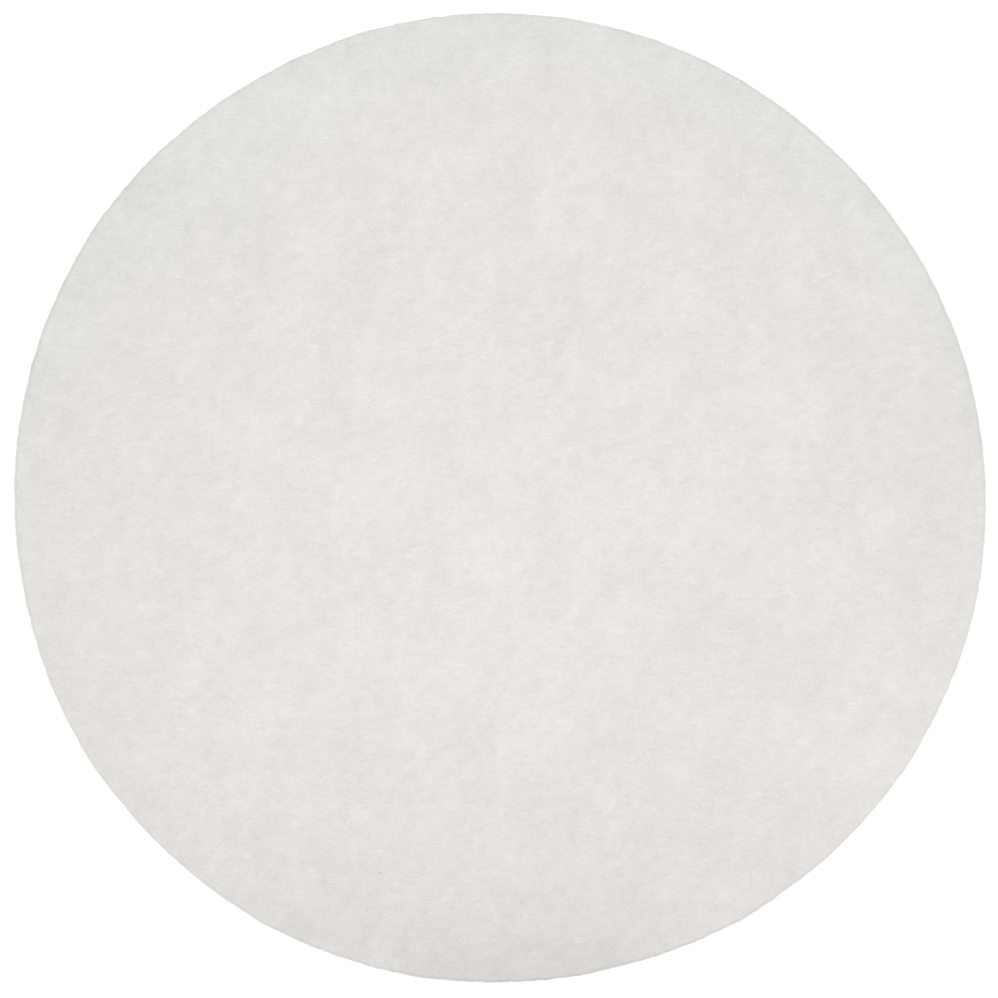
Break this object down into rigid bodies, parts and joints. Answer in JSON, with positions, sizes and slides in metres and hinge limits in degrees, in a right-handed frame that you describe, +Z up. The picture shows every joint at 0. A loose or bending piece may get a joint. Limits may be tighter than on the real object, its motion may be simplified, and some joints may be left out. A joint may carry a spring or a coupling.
{
  "type": "filter paper disc",
  "caption": "Round, flat, unfolded sheet of off-white filter paper with a knife-cut rim, laid in a funnel or holder to strain solids from a liquid.",
  "frame": {"origin": "middle of the underside, where the axis of the round cut meets the surface that the sheet lies on", "axes": "+Z up, out of the upper face and along the axis of the cut; X and Y lie in the sheet, +X to the right and +Y to the top of the view from above"},
  "size_m": [0.11, 0.11, 0.0002],
  "materials": {
    "filter_paper": "uncoated, matte and faintly cloudy, with loose fibre ends at the cut rim"
  },
  "bodies": {
    "root": {"filter_disc": "filter_paper"}
  },
  "joints": []
}
